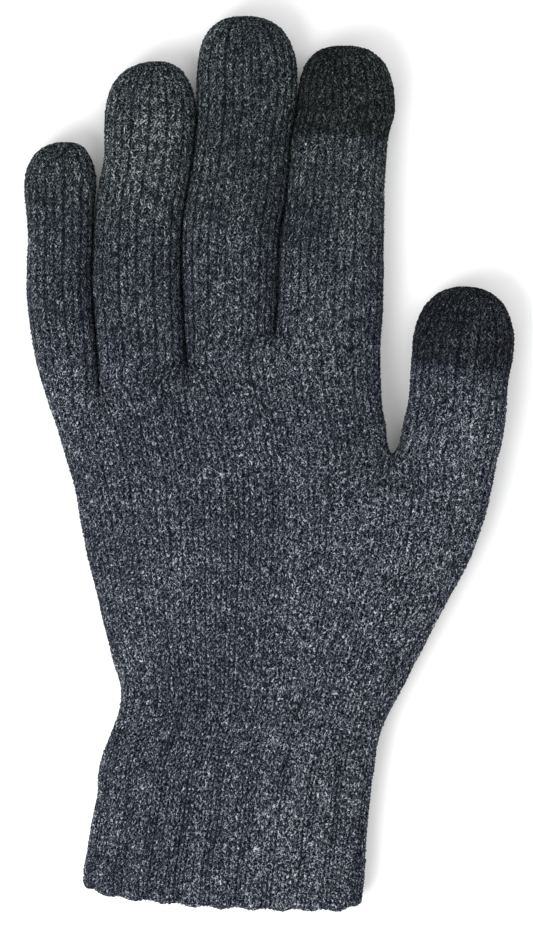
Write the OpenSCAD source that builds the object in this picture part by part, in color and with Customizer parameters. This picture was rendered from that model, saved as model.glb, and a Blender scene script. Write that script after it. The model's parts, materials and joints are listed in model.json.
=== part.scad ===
// Knitted touchscreen glove, lying flat on its back with the palm face up.
// +Y points to the fingertips, +X to the thumb side and +Z up from the surface it lies on.
// Every finger is a closed knitted tube that bends at its root and at its middle joint.

/* [Fabric] */
// Thickness of the outer knit
knit_wall = 1.8; // [1.4:0.1:2.2]
// Thickness of the brushed inner lining
lining_wall = 1.2; // [0.8:0.1:1.4]
// Air gap between outer knit and lining
lining_gap = 0.15; // [0.1:0.05:0.3]

/* [Hand] */
// Thickness of the palm lying flat
palm_t = 19; // [17:0.5:22]
// Width across the wrist seam
wrist_w = 69.4; // [66:0.2:72]
// Thickness at the wrist
wrist_t = 16.5; // [15:0.5:18]

/* [Fingers] */
// Thickness of the four fingers at their roots
finger_t = 15; // [13.5:0.5:16]
// Thickness of the thumb
thumb_t = 16; // [14:0.5:17]
// Gap left between neighbouring fingers
finger_gap = 1.1; // [0.8:0.1:2]
// Length of index finger covered by conductive yarn
index_touch_len = 25; // [18:0.5:28]
// Length of thumb covered by conductive yarn
thumb_touch_len = 21.6; // [18:0.2:22]

/* [Cuff] */
// Width of the cuff at its open end
cuff_w = 74.5; // [72:0.5:80]
// Thickness of the cuff at its open end
cuff_t = 16; // [14:0.5:18]
// Length of the cuff from the wrist seam to the open end
cuff_len = 52.4; // [45:0.2:55]
// Width of one rib of the cuff
rib_pitch = 8.2; // [6:0.1:10]
// Height of a rib over the groove beside it
rib_h = 0.9; // [0.4:0.1:1.2]
// Height of the bound edge at the open end
welt_len = 3.2; // [2.5:0.1:5]
// Thickness of an elastic thread in the cuff
elastic_d = 0.9; // [0.7:0.1:1.2]

/* [Movement] */
// Bend of a finger at its root, degrees
root_bend = 80; // [60:1:80]
// Bend of a finger at its middle joint, degrees
knuckle_bend = 90; // [60:1:90]
// Bend of the thumb at its root, degrees
thumb_root_bend = 50; // [30:1:50]
// Bend of the thumb at its middle joint, degrees
thumb_knuckle_bend = 70; // [40:1:70]
// Bend of the cuff at the wrist, degrees
wrist_bend = 60; // [30:1:60]

/* [Hidden] */

knit_colour = "#3f434a";
fold_colour = "#383c43";
touch_colour = "#25282d";
lining_colour = "#50555e";
elastic_colour = "#c8c4b8";

around = 24;          // points around a knitted tube
palm_around = 32;     // points around the palm
squareness = 2.5;     // 2 is an ellipse, larger is boxier
tip_roundness = 2.3;  // the same for the outline of a fingertip
dome_angles = [0, 22, 42, 60, 76];
floor_sag = 0.5;      // how far a tube settles to lie flat on the surface
seam = 0.1;           // hairline between pieces that meet end to end
hinge_back = 0.5;     // a tube ends this far before its hinge
swing_gap = 0.35;     // room left for the moving tube at full bend
palm_room = 1.6;      // more of it where a tube swings over the palm, which is thicker
lining_in = knit_wall + lining_gap;
lining_bore = lining_in + lining_wall;

// The palm ends in a slanted line that the four fingers grow out of.
knuckle_x = -14.2;
knuckle_y = 28.9;
knuckle_turn = 15.7;
// Both the thumb and the narrower upper palm start on this line across the hand.
thumb_line = 1.5;

// A finger is [turn of its sections, root hinge, middle hinge, start of the tip dome, tip,
// stations, left end of its root, right end of its root].
// A station is [distance along Y, centre along X, width, thickness].
index = [0, 42.5, 64, 98.5, 112.2, [
    [42.5, 16.1, 28.7 - finger_gap, finger_t],
    [62, 17.2, 28.1 - finger_gap, finger_t - 0.6],
    [82, 18.8, 26.4 - finger_gap, finger_t - 1],
    [98.5, 21.2, 25.7 - finger_gap, finger_t - 1],
    [112.2, 20.6, 25.7 - finger_gap, finger_t - 1]], 1.5, 30.4];
middle = [0, 35, 66, 105, 120, [
    [35, -10.7, 24.4 - finger_gap, finger_t],
    [66, -9.9, 26.5 - finger_gap, finger_t - 0.6],
    [82, -7.4, 25.6 - finger_gap, finger_t - 1],
    [97, -4.9, 27.1 - finger_gap, finger_t - 1],
    [105, -5.4, 28.1 - finger_gap, finger_t - 1],
    [120, -6.2, 28.1 - finger_gap, finger_t - 1]], -22.9, 1.5];
ring = [0, 28, 58, 94.5, 107.9, [
    [28, -34.6, 23.4 - finger_gap, finger_t],
    [58, -35.3, 24.1 - finger_gap, finger_t - 0.6],
    [79, -32.3, 24 - finger_gap, finger_t - 1],
    [94.5, -31.4, 25 - finger_gap, finger_t - 1],
    [107.9, -30.6, 25 - finger_gap, finger_t - 1]], -46.2, -22.9];
little = [0, 21.5, 45, 76.5, 86.2, [
    [21.5, -53.7, 15.8 - finger_gap, finger_t - 1.4],
    [45, -56.2, 17.4 - finger_gap, finger_t - 1.8],
    [66, -56, 18.2 - finger_gap, finger_t - 1.8],
    [76.5, -56.2, 19.1 - finger_gap, finger_t - 1.8],
    [86.2, -55, 19.1 - finger_gap, finger_t - 1.8]], -59.3, -46.2];
thumb = [-8, 4, 17.5, 34, 47.4, [
    [4, 48.3, 26.2, thumb_t],
    [17, 50.5, 25.4, thumb_t],
    [25.8, 51.6, 26, thumb_t - 0.5],
    [34, 52.2, 26.4, thumb_t - 0.5],
    [47.4, 53.2, 26.4, thumb_t - 0.5]], 34.4, 61.5];

// Sections of the palm from the wrist up, as [centre X, centre Y, width, thickness, turn].
wrist_turn = -7;
wrist_x = -4.2;
wrist_y = -66.6;
lower_palm_sections = [
    [wrist_x, wrist_y, wrist_w, wrist_t, wrist_turn],
    [0.2, -40, 88.6, palm_t - 0.5, -3],
    [3.7, -13, 107.6, palm_t, 0],
    [2.6, thumb_line - seam, 118.2, palm_t - 0.5, 0]];
upper_palm_sections = [
    [-12.3, thumb_line, 88.6, palm_t - 0.5, 0],
    [-14.2, 16, 89, palm_t - 1.5, 9],
    [knuckle_x, knuckle_y, 92.6, palm_t - 3, knuckle_turn]];

// The cuff leans away from the hand's centre line.
cuff_lean = 9;
cuff_turn = -2;
cuff_x = wrist_x - cuff_len * sin(cuff_lean);
cuff_y = wrist_y - cuff_len * cos(cuff_lean);
wrist_fold_len = wrist_t / 2 * tan(wrist_bend / 2) + swing_gap + palm_room;
rib_count = round((cuff_w * 2 + cuff_t * 0.9) / rib_pitch);
cuff_around = rib_count * 4;
elastic_rows = [0.3, 0.55, 0.8];

// One closed outline with a flat underside: half width a, half height b, bottom at floor_z.
function tube_outline(a, b, mid_z, floor_z, n) = [
    for (i = [0:n - 1])
        let (c = cos(360 * i / n), s = sin(360 * i / n),
             u = a * sign(c) * pow(abs(c), 2 / squareness),
             v = sign(s) * pow(abs(s), 2 / squareness))
        [u, max(mid_z + v * (v < 0 ? b + floor_sag : b), floor_z)]
];

// Places an outline on the section plane through [x, y], turned about Z.
function placed(outline, x, y, turn) = [
    for (p = outline) [x + p[0] * cos(turn), y + p[0] * sin(turn), p[1]]
];

// Reads one column of a finger's stations at distance y.
function station(finger, y, column) = lookup(y, [for (s = finger[5]) [s[0], s[column]]]);

// A finger's outline at distance y, inset all round and shrunk by k inside the tip dome.
function finger_ring(finger, y, inset, k = 1) =
    let (t = station(finger, y, 3))
    placed(
        tube_outline((station(finger, y, 2) / 2 - inset) * k, (t / 2 - inset) * k, t / 2, inset, around),
        station(finger, y, 1), y, finger[0]);

// Distances along a finger at which its outline is needed between two ends.
function stops(finger, from, to) = concat(
    [from], [for (s = finger[5]) if (s[0] > from + 0.5 && s[0] < to - 0.5) s[0]], [to]);

// Outlines from one end of a tube to the other.
function tube_rings(finger, from, to, inset) = [
    for (y = stops(finger, from, to)) finger_ring(finger, y, inset)
];

// Outlines from the open end of a capped tube to the top of its dome.
function cap_rings(finger, from, inset) =
    let (dome = finger[3], reach = finger[4] - inset - dome)
    concat(
        [for (y = stops(finger, from, dome)) if (y < dome) finger_ring(finger, y, inset)],
        [for (a = dome_angles)
            finger_ring(finger, dome + reach * pow(sin(a), 2 / tip_roundness), inset,
                        pow(cos(a), 2 / tip_roundness))]);

function reversed(list) = [for (i = [len(list) - 1:-1:0]) list[i]];

// A skin through a list of outlines: round and back to the first, or capped at both ends.
module loft(rings, round_trip) {
    n = len(rings[0]);
    m = len(rings);
    last = round_trip ? m - 1 : m - 2;
    sides = [
        for (j = [0:last], i = [0:n - 1])
            let (a = j * n + i, b = j * n + (i + 1) % n,
                 c = (j + 1) % m * n + i, d = (j + 1) % m * n + (i + 1) % n)
            each [[a, b, d], [a, d, c]]
    ];
    ends = round_trip ? [] : [
        [for (i = [n - 1:-1:0]) i],
        [for (i = [0:n - 1]) (m - 1) * n + i]
    ];
    polyhedron([for (r = rings) each r], concat(sides, ends), convexity = 6);
}

// A tube of fabric open at both ends, between two insets of the finger's outline.
module open_tube(finger, from, to, outer, inner) {
    loft(concat(tube_rings(finger, from, to, outer),
                reversed(tube_rings(finger, from, to, inner))), true);
}

// A tube of fabric closed by a round tip.
module capped_tube(finger, from, outer, inner) {
    loft(concat(reversed(cap_rings(finger, from, outer)), cap_rings(finger, from, inner)), false);
}

// How far past its hinge a moving tube starts, so that it clears the fixed one at full bend.
function swing(finger, hinge, bend) = station(finger, hinge, 3) / 2 * tan(bend / 2) + swing_gap;

function lower_start(finger, bend) = finger[1] + swing(finger, finger[1], bend) + palm_room;
function upper_start(finger, bend) = finger[2] + swing(finger, finger[2], bend);

// Where a finger's root meets the palm: on the slanted knuckle line, or on the thumb's line.
function root_ring(finger, inset, turn) =
    let (x = (finger[6] + finger[7]) / 2, w = (finger[7] - finger[6] - finger_gap) / cos(turn),
         y = turn == 0 ? thumb_line : knuckle_y + (x - knuckle_x) * tan(turn),
         t = station(finger, finger[1], 3))
    placed(tube_outline(w / 2 - inset, t / 2 - inset, t / 2, inset, around), x, y + seam, turn);

module root_fold(finger, bend, turn) {
    end = lower_start(finger, bend) - seam;
    color(fold_colour)
        loft([root_ring(finger, 0, turn), finger_ring(finger, end, 0),
              finger_ring(finger, end, knit_wall), root_ring(finger, knit_wall, turn)], true);
}

module lower_tube(finger, bend) {
    color(knit_colour)
        open_tube(finger, lower_start(finger, bend), finger[2] - hinge_back, 0, knit_wall);
}

module knuckle_fold(finger, bend) {
    color(fold_colour)
        open_tube(finger, finger[2] - hinge_back + seam, upper_start(finger, bend) - seam,
                  0, knit_wall);
}

module lower_lining(finger, bend) {
    color(lining_colour)
        open_tube(finger, lower_start(finger, bend), finger[2] - hinge_back,
                  lining_in, lining_bore);
}

module upper_lining(finger, start) {
    color(lining_colour) capped_tube(finger, start, lining_in, lining_bore);
}

// Outlines through a list of palm sections.
function palm_rings(sections, inset) = [
    for (s = sections)
        placed(tube_outline(s[2] / 2 - inset, s[3] / 2 - inset, s[3] / 2, inset, palm_around),
               s[0], s[1], s[4])
];

// A part of the palm, open at both ends, between two insets of its outline.
module palm_tube(sections, outer, inner) {
    loft(concat(palm_rings(sections, outer), reversed(palm_rings(sections, inner))), true);
}

module lower_palm() {
    color(knit_colour) palm_tube(lower_palm_sections, 0, knit_wall);
}

module upper_palm() {
    color(knit_colour) palm_tube(upper_palm_sections, 0, knit_wall);
}

module lower_palm_lining() {
    color(lining_colour) palm_tube(lower_palm_sections, lining_in, lining_bore);
}

module upper_palm_lining() {
    color(lining_colour) palm_tube(upper_palm_sections, lining_in, lining_bore);
}

// A cuff section at fraction f of the way from the wrist seam to the open end.
function cuff_ring(f, inset, n, ribbed) =
    let (w = wrist_w + (cuff_w - wrist_w) * f,
         t = wrist_t + (cuff_t - wrist_t) * f,
         plain = tube_outline(w / 2 - inset, t / 2 - inset, t / 2, inset, n),
         core = tube_outline(w / 2 - inset - rib_h, t / 2 - inset - rib_h, t / 2, inset + rib_h, n),
         grooved = [for (i = [0:n - 1]) i % 4 < 2 ? plain[i] : core[i]])
    placed(ribbed ? grooved : plain,
           wrist_x + (cuff_x - wrist_x) * f, wrist_y + (cuff_y - wrist_y) * f,
           wrist_turn + (cuff_turn - wrist_turn) * f);

// A band of the cuff between two fractions of its length and two insets.
module cuff_band(from, to, outer, inner, ribbed) {
    n = ribbed ? cuff_around : around;
    loft([cuff_ring(to, outer, n, ribbed), cuff_ring(from, outer, n, ribbed),
          cuff_ring(from, inner, n, false), cuff_ring(to, inner, n, false)], true);
}

cuff_start = (wrist_fold_len + seam) / cuff_len;
welt_start = 1 - welt_len / cuff_len;
seam_f = seam / cuff_len;
rib_wall = knit_wall + 0.6;

module wrist_fold() {
    color(fold_colour)
        cuff_band(seam_f, cuff_start - seam_f, 0, knit_wall, false);
}

module rib_cuff() {
    color(knit_colour)
        cuff_band(cuff_start, welt_start - seam_f, 0, rib_wall, true);
}

module cuff_welt() {
    color(fold_colour)
        cuff_band(welt_start, 1, 0, rib_wall, true);
}

module cuff_elastic() {
    half_f = elastic_d / 2 / cuff_len;
    thread_in = rib_wall + 0.1;
    color(elastic_colour)
        for (f = elastic_rows) {
            cuff_band(f - half_f, f + half_f, thread_in, thread_in + elastic_d, false);
        }
}

index_touch = index[4] - index_touch_len;
thumb_touch = thumb[4] - thumb_touch_len;

module index_root_fold() root_fold(index, root_bend, knuckle_turn);
module index_lower_tube() lower_tube(index, root_bend);
module index_knuckle_fold() knuckle_fold(index, knuckle_bend);
module index_upper_tube() {
    color(knit_colour)
        open_tube(index, upper_start(index, knuckle_bend), index_touch - seam, 0, knit_wall);
}
module index_touch_tip() {
    color(touch_colour) capped_tube(index, index_touch, 0, knit_wall);
}
module index_lower_lining() lower_lining(index, root_bend);
module index_upper_lining() upper_lining(index, upper_start(index, knuckle_bend));

module middle_root_fold() root_fold(middle, root_bend, knuckle_turn);
module middle_lower_tube() lower_tube(middle, root_bend);
module middle_knuckle_fold() knuckle_fold(middle, knuckle_bend);
module middle_upper_tube() {
    color(knit_colour) capped_tube(middle, upper_start(middle, knuckle_bend), 0, knit_wall);
}
module middle_lower_lining() lower_lining(middle, root_bend);
module middle_upper_lining() upper_lining(middle, upper_start(middle, knuckle_bend));

module ring_root_fold() root_fold(ring, root_bend, knuckle_turn);
module ring_lower_tube() lower_tube(ring, root_bend);
module ring_knuckle_fold() knuckle_fold(ring, knuckle_bend);
module ring_upper_tube() {
    color(knit_colour) capped_tube(ring, upper_start(ring, knuckle_bend), 0, knit_wall);
}
module ring_lower_lining() lower_lining(ring, root_bend);
module ring_upper_lining() upper_lining(ring, upper_start(ring, knuckle_bend));

module little_root_fold() root_fold(little, root_bend, knuckle_turn);
module little_lower_tube() lower_tube(little, root_bend);
module little_knuckle_fold() knuckle_fold(little, knuckle_bend);
module little_upper_tube() {
    color(knit_colour) capped_tube(little, upper_start(little, knuckle_bend), 0, knit_wall);
}
module little_lower_lining() lower_lining(little, root_bend);
module little_upper_lining() upper_lining(little, upper_start(little, knuckle_bend));

module thumb_root_fold() root_fold(thumb, thumb_root_bend, 0);
module thumb_lower_tube() lower_tube(thumb, thumb_root_bend);
// The thumb bends just below its conductive tip, so this fold reaches up to the tip.
module thumb_knuckle_fold() {
    color(fold_colour)
        open_tube(thumb, thumb[2] - hinge_back + seam, thumb_touch - seam, 0, knit_wall);
}
module thumb_touch_tip() {
    color(touch_colour) capped_tube(thumb, thumb_touch, 0, knit_wall);
}
module thumb_lower_lining() lower_lining(thumb, thumb_root_bend);
module thumb_upper_lining() upper_lining(thumb, thumb_touch);

lower_palm();
upper_palm();
lower_palm_lining();
upper_palm_lining();
wrist_fold();
rib_cuff();
cuff_welt();
cuff_elastic();
index_root_fold();
index_lower_tube();
index_knuckle_fold();
index_upper_tube();
index_touch_tip();
index_lower_lining();
index_upper_lining();
middle_root_fold();
middle_lower_tube();
middle_knuckle_fold();
middle_upper_tube();
middle_lower_lining();
middle_upper_lining();
ring_root_fold();
ring_lower_tube();
ring_knuckle_fold();
ring_upper_tube();
ring_lower_lining();
ring_upper_lining();
little_root_fold();
little_lower_tube();
little_knuckle_fold();
little_upper_tube();
little_lower_lining();
little_upper_lining();
thumb_root_fold();
thumb_lower_tube();
thumb_knuckle_fold();
thumb_touch_tip();
thumb_lower_lining();
thumb_upper_lining();
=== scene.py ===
"""A knitted touchscreen glove lying flat, its fingers up the Y axis and its thumb towards +X."""
import json
import bpy
import numpy as np
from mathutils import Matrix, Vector


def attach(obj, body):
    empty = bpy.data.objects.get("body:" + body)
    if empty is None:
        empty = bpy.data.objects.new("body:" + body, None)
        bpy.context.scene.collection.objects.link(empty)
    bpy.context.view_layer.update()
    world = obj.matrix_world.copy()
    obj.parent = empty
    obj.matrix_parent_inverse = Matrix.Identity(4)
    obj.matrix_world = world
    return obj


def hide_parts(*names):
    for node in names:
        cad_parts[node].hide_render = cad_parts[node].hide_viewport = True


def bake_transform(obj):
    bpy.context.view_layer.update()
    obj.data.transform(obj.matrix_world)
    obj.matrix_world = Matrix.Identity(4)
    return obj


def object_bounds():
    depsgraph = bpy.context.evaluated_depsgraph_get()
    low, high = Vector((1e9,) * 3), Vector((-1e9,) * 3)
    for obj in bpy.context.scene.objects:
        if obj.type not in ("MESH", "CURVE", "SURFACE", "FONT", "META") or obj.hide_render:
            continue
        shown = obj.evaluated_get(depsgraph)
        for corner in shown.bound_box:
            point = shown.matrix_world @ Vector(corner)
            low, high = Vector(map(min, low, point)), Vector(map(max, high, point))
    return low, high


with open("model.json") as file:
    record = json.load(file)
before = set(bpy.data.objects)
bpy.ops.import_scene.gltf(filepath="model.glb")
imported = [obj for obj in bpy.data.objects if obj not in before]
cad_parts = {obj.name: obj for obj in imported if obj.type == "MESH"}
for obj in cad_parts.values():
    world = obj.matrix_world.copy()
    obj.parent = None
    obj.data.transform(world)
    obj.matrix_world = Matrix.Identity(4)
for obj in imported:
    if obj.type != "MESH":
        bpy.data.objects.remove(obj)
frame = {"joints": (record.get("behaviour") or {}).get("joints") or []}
cad_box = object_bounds()
joints = {joint["name"]: joint for joint in frame["joints"]}

# Lengths are in millimetres in this script, and meshes are scaled to metres as they are made.
# Courses are rows of stitches, counted from the row where the thumb leaves the palm. Wales are columns.
MM = 0.001
COURSE = 1.45            # height of one course
THUMB_LINE = 1.6         # Y of course 0
CUFF_ROWS = 35.5         # courses of ribbing, from the wrist to the turned edge
PALM_ROWS = 47           # courses from the wrist to the thumb line
EDGE = -(PALM_ROWS + CUFF_ROWS)
RIB = 7                  # wales to a rib
RIB_FADE = 9             # courses below the wrist over which the ribs deepen
RIB_OUTSIDE = 0.13       # how far the ribs stand out
RIB_INSIDE = -0.2        # the same inside the cuff, where the ribs are turned inwards
WALE_RELIEF = 0.26       # how far each column of stitches stands out
LEG_RELIEF = 0.11        # how far each leg of a stitch stands out of its column
RIM_RADIUS = 1.7         # of the turned edge
BOTTOM = EDGE - RIM_RADIUS * np.pi / 2 / COURSE
HEM = 9                  # courses over which the cuff takes on the shape of its edge
WRIST_BAND = 9.5         # courses on each side of the wrist
ENDLESS = 1000           # a course beyond every row
WRIST_TILT = -7.0        # slope of the rows at the wrist, in degrees
EDGE_TILT = -1.4         # slope of the rows at the cuff's edge
THUMB_TURN = -8.0        # degrees from the glove's Y axis to the thumb's

ROUNDNESS = 2.4          # of the cross-sections
REST = 0.42              # height of the side folds, as a share of the thickness
CLEARANCE = 0.4          # under the glove
RESTING = 0.3            # the height below which the cloth flattens against the ground
HALF_GAP = 0.25          # between neighbouring fingers
LINING_INSET = 3.4       # from the outside of the knit to the lining
STRAY = 0.09             # how unevenly the yarn's loose fibres stand out
STRAY_SEED = 11
TIP_FULLNESS = 0.9       # the power of a dome's width that its height follows
BELLY = 0.6              # the power of the front's rounding that the flatter underside follows

# Outlines are (Y, X) points that a smooth curve passes through, up to where a fingertip's dome starts.
HAND_LEFT = [(-122, -49.6), (-112, -49.4), (-102, -48), (-90, -45.7), (-80, -44.6), (-73, -42),
             (-67, -39.9), (-61, -39.2), (-52, -41.5), (-38, -45.1), (-19, -49.7), (-5, -52.4),
             (8, -56), (27, -61.8), (36, -63.6), (47, -64.8), (62, -64.6), (73, -65.4)]
HAND_RIGHT = [(-124, 24.6), (-112, 25.4), (-96, 26.5), (-83, 28.1), (-76, 29.2), (-70, 30.8), (-60.5, 35.8),
              (-48, 42.1), (-38, 47.4), (-31, 51.3), (-25, 54.1), (-14, 57.8), (1.6, 61.3)]
PALM_RIGHT = [(1.6, 33.2), (4, 32.2), (10.5, 31.3), (17, 30.4), (30, 30.1), (43, 30.6),
              (60, 30.9), (78, 31.4), (88, 32.1), (95, 33.7)]
GAPS = [
    [(12, -44.8), (21.2, -45.6), (34, -46.4), (48, -47.4),
     (59, -47.1), (73, -46.2), (81, -44.7), (93, -44.2)],
    [(18, -21.2), (26.3, -21.9), (38, -22.7), (54, -23.3),
     (66, -22.9), (79, -20.6), (92, -19.2), (103, -19.3)],
    [(26, 1.3), (34.6, 1.6), (42.5, 2.3), (60, 3.1),
     (71, 4.7), (79, 5.5), (89, 6.3), (96, 8)],
]

# The thumb's outlines and tip are in its own turned frame, which starts at its root hinge.
THUMB_LEFT = [(-8, -15.4), (-4.5, -14.6), (-1.9, -13.4), (5, -12.6), (13, -12.3), (21, -12.9), (27, -13.2)]
THUMB_RIGHT = [(-6, 11.9), (-0.6, 13.1), (2, 13.6), (8.6, 14.1), (18, 13.3), (27, 13.4)]
THUMB_ROOT = -2.5        # Y of the thumb's first row

# (Y, thickness) of the cuff and the hand.
PALM_THICKNESS = [(-122, 15), (-100, 15.5), (-66, 16.5), (-40, 18.4), (-13, 18.8), (2, 18.4),
                  (17, 17.4), (30, 16), (45, 15.2)]

# Wales on one face, thickness, (Y, X) of the tip, Y where its dome starts, and how blunt the dome is.
DIGITS = [
    {"name": "little", "wales": 11, "thick": 13.4, "tip": (86.2, -53.9), "dome": 74, "blunt": 2.4},
    {"name": "ring", "wales": 14, "thick": 14.4, "tip": (107.9, -29.4), "dome": 91, "blunt": 2.35},
    {"name": "middle", "wales": 15, "thick": 14.6, "tip": (120.3, -7.7), "dome": 103, "blunt": 2.5},
    {"name": "index", "wales": 15, "thick": 14.6, "tip": (111.9, 19.9), "dome": 95, "blunt": 2.6},
    {"name": "thumb", "wales": 15, "thick": 15.6, "tip": (43.7, 0.3), "dome": 27, "blunt": 2.3},
]
INDEX, THUMB = 3, 4
TOUCH_TIPS = {INDEX: 59, THUMB: 16.75}    # the course where conductive yarn begins
TOUCH_FADE = 3                    # courses over which it takes over
FOLDS = [13.5, 17, 22.75]         # courses from the thumb line to the folds between the fingers
FOLD_DEPTH = 9.5                  # courses over which the glove narrows to a fold
FORK = 3                          # courses above a fold over which its two sides draw apart
THINNING = 10                     # courses over which the hand's thickness gives way to a finger's
THUMB_SQUARE = 7                  # courses over which the thumb's rows turn square to it
THUMB_JOIN = 8                    # courses over which the thumb's outline leaves the hand's
FIRST_WALE = np.cumsum([0] + [digit["wales"] for digit in DIGITS])
FACE_WALES = FIRST_WALE[-1]

LAST_FOLD = [FOLDS[0], FOLDS[1], FOLDS[2], FOLDS[2], 0]   # the course where each digit leaves the hand
HALF_WAY = [22.5, 28, 34, 34.5, 8]    # the course between a digit's root fold and its knuckle fold
ELASTIC = 0.8                     # thickness of the elastic thread
ELASTIC_AT = (0.15, 0.4, 0.65)    # where its loops lie, from the edge of the cuff to the wrist


def joint_at(name):
    """A joint's place in millimetres."""
    return np.array(joints[name]["pos_m"]) / MM


THUMB_PIVOT = joint_at("thumb_root_hinge")[:2]


def smooth(points, at):
    """A cubic curve through given points."""
    x, y = np.array(points, float).T
    slope = np.gradient(y, x)
    at = np.clip(at, x[0], x[-1])
    i = np.clip(np.searchsorted(x, at) - 1, 0, len(x) - 2)
    step = x[i + 1] - x[i]
    t = (at - x[i]) / step
    bow = step * t * (1 - t) * ((1 - t) * slope[i] - t * slope[i + 1])
    return y[i] + (y[i + 1] - y[i]) * t * t * (3 - 2 * t) + bow


def ramp(t):
    """0 before 0, 1 after 1, and an eased step between."""
    t = np.clip(t, 0, 1)
    return t * t * (3 - 2 * t)


def dip(t, sharpness=1.7):
    """How far a fold has opened: 0 before 0, 1 after 1, and steepest at the end."""
    return 1 - (1 - np.clip(t, 0, 1) ** sharpness) ** (1 / sharpness)


def arch(t):
    """The height across a rounded slab, 0 at its sides and 1 in the middle, for t from 0 to 1."""
    return (1 - np.abs(np.clip(2 * t - 1, -1, 1)) ** ROUNDNESS) ** (1 / ROUNDNESS)


def height_of(v):
    """Y of the middle of the row at course v, counted from the thumb line."""
    return THUMB_LINE + COURSE * v


def tilt_of(v):
    """The slope of a row in degrees: level at the thumb line, and leaning at the wrist."""
    wrist = WRIST_TILT * (1 - ramp(v / PALM_ROWS + 1))
    cuff = WRIST_TILT + (EDGE_TILT - WRIST_TILT) * (-v - PALM_ROWS) / CUFF_ROWS
    return np.where(v > -PALM_ROWS, wrist, cuff)


def line_ends(left, right, y, tilt, inset=0.0, inset_left=None, rounds=8):
    """Where tilted rows meet two outlines, as two arrays of points."""
    slope = np.tan(np.radians(tilt))
    low, high = y, y
    for _ in range(rounds):
        x0, x1 = smooth(left, low), smooth(right, high)
        low, high = y + slope * (x0 - x1) / 2, y + slope * (x1 - x0) / 2
    first = inset if inset_left is None else inset_left
    return np.stack([x0 + first, low], -1), np.stack([x1 - inset, high], -1)


def equal_wales(samples=2001):
    """Where the digits' shares meet, as shares of the width, for wales of equal width round the wrist."""
    wrist = np.array([height_of(-PALM_ROWS)])
    left, right = line_ends(HAND_LEFT, HAND_RIGHT, wrist, WRIST_TILT)
    t = (1 - np.cos(np.linspace(0, np.pi, samples))) / 2
    z = arch(t) * smooth(PALM_THICKNESS, wrist) * (1 - REST)
    run = np.append(0, np.cumsum(np.hypot(np.diff(t) * (right - left)[0, 0], np.diff(z))))
    return np.interp(FIRST_WALE / FACE_WALES * run[-1], run, t)


SPLIT = equal_wales()


def hand_line(v, inset):
    """The ends of a whole row at or below the thumb line, and the thumb's side of the palm's share of it."""
    v = np.minimum(v, 0)
    left, right = line_ends(HAND_LEFT, HAND_RIGHT, height_of(v), tilt_of(v), inset)
    at_fold = line_ends(HAND_LEFT, HAND_RIGHT, np.array([THUMB_LINE]), 0, inset)
    fold = (PALM_RIGHT[0][1] - at_fold[0][0, 0]) / (at_fold[1] - at_fold[0])[0, 0]
    share = SPLIT[THUMB] + (fold - SPLIT[THUMB]) * ramp((v + PALM_ROWS) / PALM_ROWS)
    return left, right, share


def palm_line(v, inset):
    """The ends of a row of the palm and the four fingers, without the thumb."""
    left, right, share = hand_line(v, inset)
    y = height_of(v)
    above = (v > 0)[:, None]
    side = inset * ramp(v / FORK)
    upper_left = np.stack([smooth(HAND_LEFT, y) + inset, y], -1)
    upper_right = np.stack([smooth(PALM_RIGHT, y) - side, y], -1)
    lower_right = left + (right - left) * share[:, None]
    return np.where(above, upper_left, left), np.where(above, upper_right, lower_right)


def palm_edge(number, v, inset, side):
    """The line between finger number - 1 and finger number, or the palm's own side, seen from one of them."""
    left, right = palm_line(v, inset)
    if number in (0, THUMB):
        return right if number else left
    fold, gap = FOLDS[number - 1], GAPS[number - 1]
    at_fold = palm_line(np.array([fold]), inset)
    at = (smooth(gap, height_of(fold)) - at_fold[0][0, 0]) / (at_fold[1] - at_fold[0])[0, 0]
    wide = SPLIT[number] / SPLIT[THUMB]
    share = wide + (at - wide) * ramp((v + PALM_ROWS) / (fold + PALM_ROWS))
    below = left + (right - left) * share[:, None]
    y = height_of(v)
    above = np.stack([smooth(gap, y) + side * (HALF_GAP + inset) * ramp((v - fold) / FORK), y], -1)
    return np.where((v > fold)[:, None], above, below)


def turned(points):
    """Points of the thumb's own frame, on the glove's axes."""
    a = np.radians(THUMB_TURN)
    turn = np.array([[np.cos(a), -np.sin(a)], [np.sin(a), np.cos(a)]])
    return points @ turn.T + THUMB_PIVOT


def along(number):
    """The way a digit points, seen from above."""
    if number == THUMB:
        return turned(np.array([0.0, 1.0])) - THUMB_PIVOT
    return np.array([0.0, 1.0])


def thumb_line(v, inset):
    """The ends of a row of the thumb, on the glove's axes."""
    left, right, share = hand_line(v, inset)
    below = left + (right - left) * share[:, None], right

    def own(at):
        tilt = -THUMB_TURN * (1 - ramp(at / THUMB_SQUARE))
        y = THUMB_ROOT + COURSE * at
        ends = line_ends(THUMB_LEFT, THUMB_RIGHT, y, tilt, inset, inset * ramp(at / FORK))
        return [turned(end) for end in ends]

    zero = np.zeros(1)
    fade = (1 - ramp(v / THUMB_JOIN))[:, None]
    start = hand_line(zero, inset)
    joined = start[0] + (start[1] - start[0]) * start[2][:, None], start[1]
    above = [end + (to - first) * fade for end, to, first in zip(own(v), joined, own(zero))]
    over = (v > 0)[:, None]
    return np.where(over, above[0], below[0]), np.where(over, above[1], below[1])


def dome_start(number):
    """Y of a digit's course 0 in its own frame, and the course where its tip starts to round off."""
    digit = DIGITS[number]
    base = THUMB_ROOT if number == THUMB else THUMB_LINE
    return base, (digit["dome"] - base) / COURSE


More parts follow.
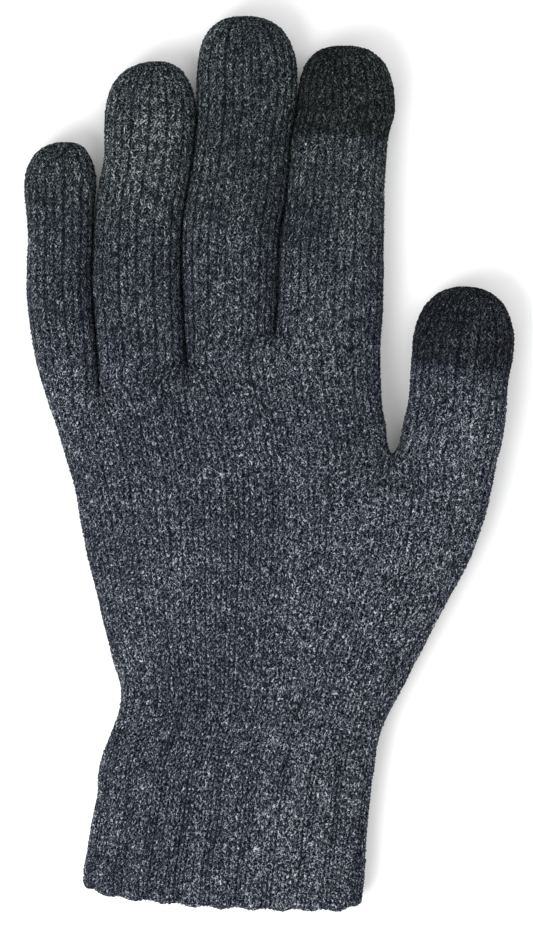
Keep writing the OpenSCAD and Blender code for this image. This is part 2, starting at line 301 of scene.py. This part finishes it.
def turned_rows(steps=12):
    """The rows of the cuff's inner layer and of the half circle that turns it outwards."""
    angle = np.linspace(np.pi, 0, steps + 1)[:-1]
    edge = np.stack([EDGE - RIM_RADIUS * angle / COURSE, EDGE - RIM_RADIUS * np.sin(angle) / COURSE,
                     RIM_RADIUS * (1 - np.cos(angle)), angle * 0 + 1, angle * 0], -1)
    up = np.arange(int(CUFF_ROWS + WRIST_BAND), 0, -1)
    inner = np.stack([edge[0, 0] - up, EDGE + up, up * 0 + 2 * RIM_RADIUS, up * 0 + 1, up * 0], -1)
    return [inner, edge]


def dome_rows(number, per_course, inset, v, samples=500, pole=0.985):
    """The rows of a digit's rounded tip above course v, equally far apart over its curve."""
    digit = DIGITS[number]
    start = dome_start(number)[0] + COURSE * v
    angle = np.linspace(0, pole * np.pi / 2, samples)
    size = np.cos(angle) ** (2 / digit["blunt"])
    rise = (digit["tip"][0] - inset - start) * np.sin(angle) ** (2 / digit["blunt"])
    run = np.append(0, np.cumsum(np.hypot(np.diff(rise), np.diff(size) * digit["wales"])))
    steps = int(run[-1] / COURSE * per_course)
    at = np.arange(1, steps + 1) / steps * run[-1]
    more = v + np.arange(1, steps + 1) / per_course
    size, rise = np.interp(at, run, size), np.interp(at, run, rise)
    return np.stack([more, more * 0 + v, more * 0 + inset, size, rise], -1)


def share_rows(number, per_course, inset, first, turned_edge):
    """A digit's rows: course of the pattern, course of the place, inset, and size and rise of the dome."""
    count = int((dome_start(number)[1] - first) * per_course)
    v = first + np.arange(count + 1) / per_course
    plain = np.stack([v, v, np.full(len(v), inset), np.ones(len(v)), np.zeros(len(v))], -1)
    below = turned_rows() if turned_edge else []
    return np.concatenate(below + [plain, dome_rows(number, per_course, inset, v[-1])])


def row_ends(number, v, inset):
    """Where the rows of a share start and end, the same for the palm, and the palm's share of the hand."""
    first, last, palm_first, palm_last = np.zeros((4, len(v), 2))
    share = np.ones(len(v))
    insets = inset.round(6)
    for depth in sorted(set(insets)):
        i = insets == depth
        if number == THUMB:
            first[i], last[i] = thumb_line(v[i], depth)
        else:
            first[i] = palm_edge(number, v[i], depth, 1)
            last[i] = palm_edge(number + 1, v[i], depth, -1)
        palm_first[i], palm_last[i] = palm_line(v[i], depth)
        share[i] = hand_line(v[i], depth)[2]
    return first, last, palm_first, palm_last, share


def even_columns(section, width, columns, samples=161):
    """Places across each row, from 0 to 1, that are equally far apart over its rounded front."""
    dense = np.broadcast_to((1 - np.cos(np.linspace(0, np.pi, samples))) / 2, (len(width), samples))
    top = section(dense)[0]
    run = np.cumsum(np.hypot(np.diff(dense, axis=1) * width, np.diff(top, axis=1)), axis=1)
    run = np.concatenate([np.zeros((len(width), 1)), run], axis=1)
    even = np.linspace(0, 1, columns)
    return np.array([np.interp(even * r[-1], r, d) for r, d in zip(run, dense)])


def rounded_tip(number, line, size, rise):
    """Rows seen from above, with those of the dome drawn in towards the tip."""
    tip = np.array(DIGITS[number]["tip"])[::-1]
    if number == THUMB:
        tip = turned(tip)
    direction = along(number)
    centre = ((line[:, 0] + line[:, -1]) / 2)[:, None]
    aim = centre + ((tip - centre) - ((tip - centre) @ direction)[..., None] * direction)
    line = np.where((size < 1)[:, None, None], aim + (line - aim) * size[:, None, None], line)
    return line + (direction * rise[:, None])[:, None]


def hem_rise(number, v, whole, per_wale):
    """How far the cuff's edge lies up from a straight line: at the left, in both corners and between ribs."""
    near_edge = ramp((EDGE + HEM - v) / HEM)[:, None]
    scallop = np.cos(2 * np.pi * (FIRST_WALE[number] + np.arange(whole.shape[1]) / per_wale) / RIB)
    outwards = np.abs(2 * whole - 1)
    corner = np.where(whole < 0.5, 1.2 * outwards ** 9, 1.3 * outwards ** 14)
    slant = 0.3 + 3.3 * (1 - whole) ** 1.8
    return near_edge * (slant + corner - 0.28 * scallop)


def share_points(number, rows, per_wale):
    """The front and back points of a digit's share of the glove, as (row, column, xyz)."""
    digit = DIGITS[number]
    _, v, inset, size, rise = rows.T
    first, last, palm_first, palm_last, share = row_ends(number, v, inset)
    thick = smooth(PALM_THICKNESS, height_of(v))
    open_thumb = np.where(v <= 0, dip(v / FOLD_DEPTH + 1), 1)
    # The folds on the two sides of the share, each with its own height.
    around = [FOLDS[k] for k in (number - 1, number) if 0 <= k < len(FOLDS)] if number < THUMB else [0, 0]
    ramps = [dip((v - fold) / FOLD_DEPTH + 1) for fold in (around[0], around[-1])]
    own = digit["thick"] + (thick - digit["thick"]) * (1 - ramp((v - max(around)) / THINNING))
    middle = REST * own
    shrink = size ** TIP_FULLNESS

    def section(t):
        """The height of the front and the back at places t of each row, and those places across the hand."""
        s = ramps[0][:, None] + (ramps[1] - ramps[0])[:, None] * ramp(t)
        if number == THUMB:
            whole = share[:, None] + (1 - share[:, None]) * t
            palm = arch(t)
            s = np.ones_like(t)
        else:
            width = (palm_last - palm_first)[:, :1]
            across = (first[:, :1] + (last - first)[:, :1] * t - palm_first[:, :1]) / width
            palm = arch(across)
            whole = across * share[:, None]
        low = (1 - open_thumb)[:, None] * arch(whole) + open_thumb[:, None] * (1 - s) * palm
        high = open_thumb[:, None] * s * arch(t)
        wide = (thick - middle - inset)[:, None]
        narrow = (np.minimum(digit["thick"], own) - middle - inset)[:, None]
        top = middle[:, None] + (low * wide + high * narrow) * shrink[:, None]
        depth = (middle - CLEARANCE - inset)[:, None]
        return top, middle[:, None] - (low + high) ** BELLY * depth * shrink[:, None], whole

    width = np.linalg.norm(last - first, axis=1)[:, None]
    t = even_columns(section, width, digit["wales"] * per_wale + 1)
    top, bottom, whole = section(t)
    line = first[:, None] + (last - first)[:, None] * t[:, :, None]
    line = rounded_tip(number, line, size, rise)
    line[:, :, 1] += hem_rise(number, v, whole, per_wale)
    return [np.dstack([line, z]) for z in (top, bottom)]


def knit_relief(u, v):
    """How far the stitches stand out of the smooth shape at wale u and course v.

    The wales wander a little, the groove after each has a depth of its own, and two legs make up each stitch.
    """
    u = u + 0.13 * np.sin(1.7 * v + 3 * np.sin(0.9 * u)) * np.sin(0.6 * v + 2 * np.sin(0.5 * u))
    groove = np.floor(u + 0.5)
    chance = np.modf(np.abs(np.sin(groove * 12.9898)) * 43758.5453)[0]
    depth = 0.75 + 0.5 * chance + 0.2 * np.cos(np.pi * groove)
    across = np.abs(u - groove)
    ridge = 1 - (1 - np.sin(np.pi * across)) * depth
    leg = np.cos(2 * np.pi * (v - 2.8 * (0.5 - across)))
    rib = np.cos(2 * np.pi * u / RIB) * ramp((-PALM_ROWS - 1 - v) / RIB_FADE)
    ribbing = np.where(v < BOTTOM, RIB_INSIDE * rib, RIB_OUTSIDE * rib)
    return ribbing + WALE_RELIEF * ridge + LEG_RELIEF * leg * np.sin(np.pi * across)


def unevenness(points):
    """The slow waviness of soft cloth, in millimetres."""
    x, y, z = (points / 10).T
    slow = np.sin(0.9 * x + 1.3 * np.sin(0.5 * y)) * np.sin(0.7 * y + 0.8 * np.sin(0.6 * x + z))
    return 0.28 * slow + 0.12 * np.sin(2.1 * x - 1.7 * y + np.sin(1.9 * y)) * np.sin(2.6 * y + x)


def face_normals(points, faces):
    """The normal of each vertex, from the faces round it."""
    a, b, c, d = (points[faces[:, k]] for k in range(4))
    flat = np.cross(c - a, d - b)
    total = np.zeros_like(points)
    for corner in range(4):
        for axis in range(3):
            total[:, axis] += np.bincount(faces[:, corner], flat[:, axis], len(points))
    return total / np.maximum(np.linalg.norm(total, axis=1), 1e-12)[:, None]


class Skin:
    """One layer of the whole glove, made as a single mesh and handed out in pieces."""

    def __init__(self, per_wale, per_course, inset, first, turned_edge):
        self.rows, self.patches, points = [], [], []
        layers = {"relief": [], "wale": [], "charge": []}
        start = 0
        for number in range(len(DIGITS)):
            rows = share_rows(number, per_course, inset, first, turned_edge)
            self.rows.append(rows[:, 0])
            for side, sheet in enumerate(share_points(number, rows, per_wale)):
                u = FIRST_WALE[number] + np.arange(sheet.shape[1]) / per_wale
                u = np.broadcast_to(u if side == 0 else 2 * FACE_WALES - u, sheet.shape[:2])
                v = np.broadcast_to(rows[:, :1], u.shape)
                points.append(sheet.reshape(-1, 3))
                towards_tip = np.clip(rows[:, 3:4] * 1.5, 0, 1)
                layers["relief"].append((knit_relief(u, v) * towards_tip).ravel())
                step = np.linalg.norm(np.diff(sheet, axis=1), axis=2) * per_wale
                layers["wale"].append(np.concatenate([step, step[:, -1:]], axis=1).ravel())
                touch = (v - TOUCH_TIPS.get(number, ENDLESS)) / TOUCH_FADE + 0.5
                layers["charge"].append(np.clip(touch, 0, 1).ravel())
                ids = start + np.arange(u.size).reshape(u.shape)
                self.patches.append({"digit": number, "side": side, "ids": ids, "uv": np.dstack([u, v])})
                start += u.size
        self.merge(np.concatenate(points), layers)
        faces, _ = self.faces(lambda digit, side: (-ENDLESS, ENDLESS))
        if turned_edge:
            self.roughen(faces)
        self.normals = face_normals(self.points, faces)

    def merge(self, points, layers, per_mm=500):
        """Keeps one vertex where the shares' points lie on each other."""
        cells = (points * per_mm).round().astype(np.int64) + 2 ** 20
        keys = (cells[:, 0] << 42) + (cells[:, 1] << 21) + cells[:, 2]
        _, source, merged = np.unique(keys, return_index=True, return_inverse=True)
        merged = merged.ravel()
        for patch in self.patches:
            patch["ids"] = merged[patch["ids"]]
        self.points = points[source]
        count = np.bincount(merged)
        self.layers = {}
        for key, values in layers.items():
            self.layers[key] = np.bincount(merged, np.concatenate(values)) / count

    def roughen(self, faces):
        """Raises the stitches, makes the cloth uneven, and keeps it above the ground."""
        loose = np.random.default_rng(STRAY_SEED).normal(0, STRAY, len(self.points))
        push = self.layers["relief"] + unevenness(self.points) + loose
        self.points = self.points + face_normals(self.points, faces) * push[:, None]
        sunk = np.minimum(self.points[:, 2] / RESTING - 1, 0)
        self.points[:, 2] = np.maximum(self.points[:, 2], RESTING) - RESTING + RESTING * np.exp(sunk)

    def faces(self, chosen):
        """The faces and their stitch coordinates, between the courses that chosen(digit, side) gives."""
        faces, places = [], []
        for patch in self.patches:
            span = chosen(patch["digit"], patch["side"])
            if span is None:
                continue
            rows = self.rows[patch["digit"]]
            low, high = np.searchsorted(rows, np.array(span) - 0.01)
            high = min(high, len(rows) - 1)
            order = [(0, 0), (0, 1), (1, 1), (1, 0)]
            if patch["side"]:
                order = order[::-1]
            for made, key in ((faces, "ids"), (places, "uv")):
                values = patch[key][low:high + 1]
                r, c = values.shape[0] - 1, values.shape[1] - 1
                corners = [values[i:i + r, j:j + c] for i, j in order]
                made.append(np.stack(corners, 2).reshape((r * c, 4) + values.shape[2:]))
            if high == len(rows) - 1 and patch["side"] == 0:
                other = next(p for p in self.patches if p["digit"] == patch["digit"] and p["side"])
                front, back = patch["ids"][-1], other["ids"][-1]
                faces.append(np.stack([front[:-1], front[1:], back[1:], back[:-1]], 1))
                front = patch["uv"][-1]
                back = front + [0, 0.5]
                places.append(np.stack([front[:-1], front[1:], back[1:], back[:-1]], 1))
        return np.concatenate(faces), np.concatenate(places)

    def piece(self, name, chosen):
        """A mesh object of the faces between the chosen courses."""
        faces, places = self.faces(chosen)
        used, compact = np.unique(faces, return_inverse=True)
        compact = compact.reshape(faces.shape)
        kept = compact != np.roll(compact, 1, axis=1)
        sound = kept.sum(1) > 2
        compact, places, kept = compact[sound], places[sound], kept[sound]
        starts = np.append(0, np.cumsum(kept.sum(1))[:-1])
        mesh = bpy.data.meshes.new(name)
        mesh.vertices.add(len(used))
        mesh.vertices.foreach_set("co", (self.points[used] * MM).astype(np.float32).ravel())
        mesh.loops.add(kept.sum())
        mesh.loops.foreach_set("vertex_index", compact[kept].astype(np.int32))
        mesh.polygons.add(len(compact))
        mesh.polygons.foreach_set("loop_start", starts.astype(np.int32))
        mesh.update(calc_edges=True)
        if mesh.validate():
            raise RuntimeError(name + " has faulty faces")
        layer = mesh.uv_layers.new(name="stitches")
        layer.data.foreach_set("uv", places[kept].astype(np.float32).ravel())
        for key, values in self.layers.items():
            layer = mesh.attributes.new(key, "FLOAT", "POINT")
            layer.data.foreach_set("value", values[used].astype(np.float32))
        mesh.normals_split_custom_set_from_vertices(self.normals[used].tolist())
        piece = bpy.data.objects.new(name, mesh)
        bpy.context.scene.collection.objects.link(piece)
        return piece


class Shader:
    """A material being wired up, with a short way to write its sums."""

    def __init__(self, name, roughness, sheen=0.0):
        self.material = bpy.data.materials.new(name)
        self.material.use_nodes = True
        self.tree = self.material.node_tree
        self.principled = self.tree.nodes["Principled BSDF"]
        self.principled.inputs["Roughness"].default_value = roughness
        self.principled.inputs["Specular IOR Level"].default_value = 0.03
        self.principled.inputs["Sheen Weight"].default_value = sheen
        self.principled.inputs["Sheen Roughness"].default_value = 0.5

    def put(self, socket, value):
        """Links a socket to another, or sets its value."""
        if isinstance(value, bpy.types.NodeSocket):
            self.tree.links.new(value, socket)
        else:
            socket.default_value = value

    def node(self, kind, settings=None, **inputs):
        """A new node with these settings, and these values or links at its inputs."""
        made = self.tree.nodes.new("ShaderNode" + kind)
        for key, value in (settings or {}).items():
            setattr(made, key, value)
        for key, value in inputs.items():
            self.put(made.inputs[key], value)
        return made

    def math(self, operation, *values):
        made = self.node("Math", {"operation": operation})
        for socket, value in zip(made.inputs, values):
            self.put(socket, value)
        return made.outputs[0]

    def between(self, value, low, high):
        """0 below low, 1 above high, and a smooth step between."""
        made = self.node("MapRange", {"interpolation_type": "SMOOTHSTEP"}, Value=value)
        made.inputs["From Min"].default_value = low
        made.inputs["From Max"].default_value = high
        return made.outputs["Result"]

    def vector(self, x, y, z):
        return self.node("CombineXYZ", X=x, Y=y, Z=z).outputs[0]

    def noise(self, vector, scale, detail=2.0, roughness=0.5):
        """A noise's outputs: first its value, then its colour."""
        return self.node("TexNoise", Vector=vector, Scale=scale, Detail=detail, Roughness=roughness).outputs

    def attribute(self, name):
        return self.node("Attribute", {"attribute_name": name}).outputs["Fac"]

    def curls(self, vector, scale):
        """Short curved fibres, bright along the lines where a noise crosses its middle."""
        apart = self.math("ABSOLUTE", self.math("SUBTRACT", self.noise(vector, scale, 1.0)[0], 0.5))
        lines = self.between(apart, 0.038, 0.0)
        broken = self.between(self.noise(vector, scale * 1.15, 0.0)[0], 0.38, 0.54)
        return self.math("MULTIPLY", lines, broken)


# Colours of the yarn from the depth between stitches, where the dark yarn is deepened to near black with
# painted shade, to its lightest fibres.
YARN = [(0.0, (0.0015, 0.0018, 0.0035)), (0.2, (0.013, 0.015, 0.023)), (0.5, (0.066, 0.075, 0.099)),
        (1.0, (0.47, 0.505, 0.57))]
TOUCH = [(0.0, (0.0015, 0.0018, 0.003)), (0.2, (0.008, 0.0095, 0.013)), (0.5, (0.03, 0.033, 0.04)),
         (1.0, (0.2, 0.22, 0.25))]


def colours(s, level, tones):
    """A level from 0 to 1 as a colour."""
    made = s.node("ValToRGB", Fac=level)
    while len(made.color_ramp.elements) < len(tones):
        made.color_ramp.elements.new(0.5)
    for element, (place, colour) in zip(made.color_ramp.elements, tones):
        element.position, element.color = place, (*colour, 1)
    return made.outputs[0]


def knit(name):
    """Stockinette of marled yarn. Each wale is a column of V stitches: two legs lean out from its middle."""
    s = Shader(name, 0.9)
    uv = s.node("UVMap", {"uv_map": "stitches"}).outputs[0]
    place = s.node("SeparateXYZ", Vector=uv)
    at = s.node("TexCoord").outputs["Object"]

    # Where a point lies among the stitches, which wander by part of a wale and a course.
    slow = s.node("SeparateColor", Color=s.noise(uv, 0.5, 1.0)[1]).outputs
    quick = s.node("SeparateColor", Color=s.noise(uv, 1.7, 1.0)[1]).outputs
    u = s.math("MULTIPLY_ADD", quick[0], 0.5, s.math("MULTIPLY_ADD", slow[0], 0.6, place.outputs["X"]))
    v = s.math("MULTIPLY_ADD", quick[1], 1.1, s.math("MULTIPLY_ADD", slow[1], 1.6, place.outputs["Y"]))
    u = s.math("SUBTRACT", u, 0.55)
    across = s.math("ABSOLUTE", s.math("SUBTRACT", s.math("FRACT", u), 0.5))
    leg = s.math("SUBTRACT", v, s.math("MULTIPLY", across, s.math("MULTIPLY", s.attribute("wale"), 1.4)))
    strand = s.between(s.math("PINGPONG", leg, 0.5), 0.02, 0.36)

    # The marl: a tone for each leg, fibres along it, and fuzz and clouds over everything.
    side = s.math("ADD", s.math("FLOOR", s.math("MULTIPLY", u, 2)), 0.5)
    tone = s.node("TexWhiteNoise", Vector=s.vector(side, s.math("FLOOR", leg), 0.0)).outputs["Value"]
    ply = s.vector(s.math("MULTIPLY", leg, 2.4), s.math("MULTIPLY", v, 0.9), s.math("MULTIPLY", side, 3.7))
    fibre = s.noise(ply, 1.0, 3.0, 0.65)[0]
    fuzz = s.noise(at, 2400.0, 2.0, 0.6)[0]
    cloud = s.noise(at, 32.0, 2.0)[0]
    # Painted shade: how far the yarn stands clear of the shade that is painted deep between the wales.
    out_of_groove_shade = s.between(s.attribute("relief"), -0.25, 0.2)
    # Painted shade: the yarn's body falls to its darkest in the gaps between wales and between legs.
    gap = s.between(across, 0.5, 0.34)
    body = s.math("MULTIPLY", strand, s.math("MULTIPLY_ADD", gap, 0.7, 0.3))
    fleck = s.between(s.math("ADD", fibre, s.math("MULTIPLY_ADD", fuzz, 0.5, -0.25)), 0.46, 0.7)
    pale = s.math("MULTIPLY", fleck, s.math("MULTIPLY_ADD", body, 0.6, 0.3))
    fingers = s.between(place.outputs["Y"], 2, 26)
    pale = s.math("MULTIPLY", pale, s.math("MULTIPLY_ADD", fingers, 0.35, 0.65))
    for scale, strength in ((700.0, 1.0), (1100.0, 0.95)):
        pale = s.math("MAXIMUM", pale, s.math("MULTIPLY", s.curls(at, scale), strength))

    # How light the yarn is, with painted shade deep between the wales, deeper still there on the fingers, and
    # over the whole of the fingers.
    level = s.math("ADD", s.math("MULTIPLY", body, s.math("MULTIPLY_ADD", tone, 0.2, 0.16)),
                   s.math("MULTIPLY", pale, s.math("MULTIPLY_ADD", cloud, 0.8, 0.27)))
    level = s.math("ADD", level, s.math("MULTIPLY_ADD", fuzz, 0.8, -0.41))
    level = s.math("MULTIPLY", level, s.math("MULTIPLY_ADD", out_of_groove_shade, 0.55, 0.45))
    # Painted shade, deeper in the grooves between the wales on the fingers.
    groove = s.math("MULTIPLY", fingers, s.math("SUBTRACT", 1.0, out_of_groove_shade))
    level = s.math("MULTIPLY", level, s.math("MULTIPLY_ADD", groove, -0.22, 1.02))
    # Painted shade: the fingers as a whole are darker than the hand.
    level = s.math("MULTIPLY", level, s.math("MULTIPLY_ADD", fingers, -0.2, 1.06))

    # Conductive yarn takes over with a ragged edge, and the fingers are less blue than the hand.
    charge = s.math("ADD", s.attribute("charge"), s.math("MULTIPLY_ADD", fibre, 1.2, -0.6))
    mix = s.node("Mix", {"data_type": "RGBA"}, Factor=s.between(charge, 0.42, 0.58))
    s.put(mix.inputs["A"], colours(s, level, YARN))
    s.put(mix.inputs["B"], colours(s, level, TOUCH))
    up_fingers = s.between(place.outputs["Y"], 14, 60)
    tint = s.node("Mix", {"data_type": "RGBA", "blend_type": "MULTIPLY"}, Factor=up_fingers)
    s.put(tint.inputs["A"], mix.outputs["Result"])
    tint.inputs["B"].default_value = (1, 1.06, 0.89, 1)
    s.put(s.principled.inputs["Base Color"], tint.outputs["Result"])

    height = s.math("ADD", s.math("MULTIPLY", body, 0.6), s.math("MULTIPLY", fuzz, 0.35))
    bump = s.node("Bump", Height=s.math("MULTIPLY_ADD", pale, 0.4, height), Strength=0.8, Distance=0.0004)
    s.put(s.principled.inputs["Normal"], bump.outputs[0])
    return s.material


def fleece(name, colour):
    """The brushed inner face: soft short fibres in clumps."""
    s = Shader(name, 0.95, 0.5)
    place = s.node("TexCoord").outputs["Object"]
    pile = s.noise(place, 900.0, 4.0, 0.7)[0]
    clump = s.noise(place, 160.0, 2.0)[0]
    shade = s.math("MULTIPLY_ADD", pile, 0.6, s.math("MULTIPLY", clump, 0.5))
    mix = s.node("Mix", {"data_type": "RGBA"}, Factor=shade)
    mix.inputs["A"].default_value = (*[c * 0.4 for c in colour], 1)
    mix.inputs["B"].default_value = (*[c * 1.6 for c in colour], 1)
    s.put(s.principled.inputs["Base Color"], mix.outputs["Result"])
    bump = s.node("Bump", Height=shade, Strength=1.0, Distance=0.0006)
    s.put(s.principled.inputs["Normal"], bump.outputs[0])
    return s.material


def elastic(name):
    """Covered elastic thread, with its winding as fine slanting bands."""
    s = Shader(name, 0.5, 0.1)
    twist = s.node("TexWave", {"bands_direction": "DIAGONAL"}, Vector=s.node("TexCoord").outputs["Object"])
    twist.inputs["Scale"].default_value = 900.0
    mix = s.node("Mix", {"data_type": "RGBA"}, Factor=twist.outputs["Fac"])
    mix.inputs["A"].default_value = (0.02, 0.02, 0.022, 1)
    mix.inputs["B"].default_value = (0.09, 0.09, 0.095, 1)
    s.put(s.principled.inputs["Base Color"], mix.outputs["Result"])
    bump = s.node("Bump", Height=twist.outputs["Fac"], Distance=0.0002)
    s.put(s.principled.inputs["Normal"], bump.outputs[0])
    return s.material


marled_knit = knit("marled_knit")
ribbed_knit = knit("ribbed_knit")
conductive_knit = knit("conductive_knit")
brushed_lining = fleece("brushed_lining", (0.035, 0.038, 0.044))
elastic_thread = elastic("elastic_thread")

wrist_high, wrist_low = WRIST_BAND - PALM_ROWS, -WRIST_BAND - PALM_ROWS
inside_top = EDGE - RIM_RADIUS * np.pi / COURSE - (CUFF_ROWS - WRIST_BAND)
outer = Skin(per_wale=5, per_course=4, inset=0.0, first=EDGE, turned_edge=True)
inner = Skin(per_wale=1, per_course=2, inset=LINING_INSET, first=wrist_high - 1, turned_edge=False)


def dress(piece, material, slot, *nodes):
    """Gives a piece its material, and hides the CAD nodes that it stands for. The slot is not used."""
    piece.data.materials.append(material)
    if nodes:
        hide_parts(*nodes)


def bend_root(piece):
    """Bakes the piece's transform into its mesh."""
    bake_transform(piece)


def bend_knuckle(piece):
    """Bakes the piece's transform into its mesh."""
    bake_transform(piece)


def only(number, low, high):
    """Chooses one digit's rows, on both sides."""
    return lambda digit, side: (low, high) if digit == number else None


def every(low, high, side=None):
    """Chooses rows of the whole hand, of one side or both. None stands for where each digit leaves it."""
    def chosen(digit, face):
        top = LAST_FOLD[digit] if high is None else high
        return (low, top) if side in (None, face) else None
    return chosen


def make_hand():
    """The hand's face and its back."""
    face = outer.piece("hand_face_knit", every(wrist_high, None, 0))
    dress(face, marled_knit, "marled_knit", "lower_palm", "upper_palm")
    back = outer.piece("hand_back_knit", every(wrist_high, None, 1))
    dress(back, marled_knit, "marled_knit")
    for piece in (face, back):
        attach(piece, "hand")


def make_cuff():
    """The cuff's face and back, and its inner layer up to the wrist."""
    face = outer.piece("cuff_face_rib", every(BOTTOM, wrist_low, 0))
    dress(face, ribbed_knit, "ribbed_knit", "rib_cuff", "cuff_welt")
    back = outer.piece("cuff_back_rib", every(BOTTOM, wrist_low, 1))
    dress(back, ribbed_knit, "ribbed_knit")
    inside = outer.piece("cuff_inside_rib", every(inside_top, BOTTOM))
    dress(inside, ribbed_knit, "ribbed_knit")
    for piece in (face, back, inside):
        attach(piece, "cuff")


def make_hand_lining():
    """The lining of the hand, from the wrist to the digits."""
    lining = inner.piece("hand_lining", every(wrist_high - 1, None))
    dress(lining, brushed_lining, "brushed_lining", "lower_palm_lining", "upper_palm_lining")
    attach(lining, "hand")


def make_wrist():
    """The two layers over the wrist."""
    axis = joints["wrist_hinge"]["axis"]
    down = np.array([axis[1], -axis[0]])
    down = down if down[1] < 0 else -down
    knitted = outer.piece("wrist_knit", every(wrist_low, wrist_high))
    dress(knitted, ribbed_knit, "ribbed_knit", "wrist_fold")
    inside = outer.piece("wrist_inside_rib", every(-ENDLESS, inside_top))
    dress(inside, ribbed_knit, "ribbed_knit")
    for piece in (knitted, inside):
        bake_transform(piece)


def make_digit(number):
    """One finger or the thumb: knit and lining, each with a piece over the root and one over the knuckle."""
    name = DIGITS[number]["name"]
    fold, middle = LAST_FOLD[number], HALF_WAY[number]
    tip = TOUCH_TIPS.get(number, ENDLESS)
    over_root = [name + "_root_fold", name + "_lower_tube"]
    over_knuckle = [name + "_knuckle_fold"]
    if number != THUMB:
        over_knuckle.append(name + "_upper_tube")
    lower_lining, upper_lining = [name + "_lower_lining"], [name + "_upper_lining"]
    for skin, layer, material, slot, end, root_nodes, end_nodes in (
            (outer, "knit", marled_knit, "marled_knit", tip, over_root, over_knuckle),
            (inner, "lining", brushed_lining, "brushed_lining", ENDLESS, lower_lining, upper_lining)):
        root = skin.piece(f"{name}_root_{layer}", only(number, fold, middle))
        dress(root, material, slot, *root_nodes)
        bend_root(root)
        upper = skin.piece(f"{name}_end_{layer}", only(number, middle, end))
        dress(upper, material, slot, *end_nodes)
        bend_knuckle(upper)
    if number in TOUCH_TIPS:
        touch = outer.piece(name + "_touch_knit", only(number, tip, ENDLESS))
        dress(touch, conductive_knit, "conductive_knit", name + "_touch_tip")
        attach(touch, name + "_upper")


def make_elastic(courses, thickness, sides=8):
    """Closed loops of elastic thread that run between the two layers of the cuff."""
    rows = np.array([[v, v, RIM_RADIUS, 1.0, 0.0] for v in courses])
    sheets = [share_points(number, rows, 1) for number in range(len(DIGITS))]
    there = [front[:, :-1] for front, _ in sheets]
    back = [sheet[:, :0:-1] for _, sheet in sheets[::-1]]
    loops = np.concatenate(there + back, axis=1)
    onward = np.roll(loops, -1, axis=1) - np.roll(loops, 1, axis=1)
    out = np.cross(onward, [0.0, 1.0, 0.0])
    out /= np.linalg.norm(out, axis=2)[:, :, None]
    angle = 2 * np.pi * np.arange(sides) / sides
    ring = np.cos(angle)[:, None] * [0.0, 1.0, 0.0] + np.sin(angle)[:, None] * out[:, :, None]
    points = loops[:, :, None] + thickness / 2 * ring
    ids = np.arange(points[..., 0].size).reshape(points.shape[:3])
    following = np.roll(ids, -1, axis=1)
    faces = np.stack([ids, following, np.roll(following, -1, axis=2), np.roll(ids, -1, axis=2)], -1)
    mesh = bpy.data.meshes.new("cuff_elastic_thread")
    mesh.from_pydata((points.reshape(-1, 3) * MM).tolist(), [], faces.reshape(-1, 4).tolist())
    mesh.shade_smooth()
    thread = bpy.data.objects.new("cuff_elastic_thread", mesh)
    bpy.context.scene.collection.objects.link(thread)
    dress(thread, elastic_thread, "elastic_thread", "cuff_elastic")
    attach(thread, "cuff")


def camera():
    """Straight above, where the glove fits into the frame with a narrow margin, a little off its middle."""
    data = bpy.data.cameras.new("camera")
    rig = bpy.data.objects.new("camera", data)
    bpy.context.scene.collection.objects.link(rig)
    distance, frame_height, outline_height = 0.9, 0.2523, 0.0075
    data.lens = data.sensor_width / 2 / (frame_height / 2 / distance)
    low, high = cad_box
    centre = (low + high) / 2
    rig.location = (centre.x - 0.0005, centre.y - 0.0016, outline_height + distance)
    bpy.context.scene.camera = rig


def light(name, place, aim, size, power):
    """A square soft light, in metres and watts."""
    data = bpy.data.lights.new(name, "AREA")
    data.size = size
    data.energy = power
    lamp = bpy.data.objects.new(name, data)
    lamp.location = place
    lamp.rotation_euler = (Vector(aim) - Vector(place)).to_track_quat("-Z", "Y").to_euler()
    bpy.context.scene.collection.objects.link(lamp)


def studio():
    """A plain pale floor under soft light."""
    bpy.ops.mesh.primitive_plane_add(size=6)
    floor = bpy.context.object
    floor.name = "floor"
    paint = Shader("floor_paint", 0.9)
    paint.principled.inputs["Base Color"].default_value = (0.92, 0.92, 0.92, 1)
    floor.data.materials.append(paint.material)
    world = bpy.data.worlds.new("studio")
    bpy.context.scene.world = world
    world.use_nodes = True
    world.node_tree.nodes["Background"].inputs["Color"].default_value = (1, 1, 1, 1)
    world.node_tree.nodes["Background"].inputs["Strength"].default_value = 0.86
    light("key", (-0.3, -0.3, 0.4), (-0.02, -0.05, 0), 0.4, 3.6)
    light("fill", (0.5, 0.4, 0.9), (0, 0, 0), 0.9, 3)
    bpy.context.scene.view_settings.view_transform = "Standard"


make_hand()
make_cuff()
make_hand_lining()
make_wrist()
for digit_number in range(len(DIGITS)):
    make_digit(digit_number)
make_elastic([EDGE + CUFF_ROWS * share for share in ELASTIC_AT], ELASTIC)
camera()
studio()
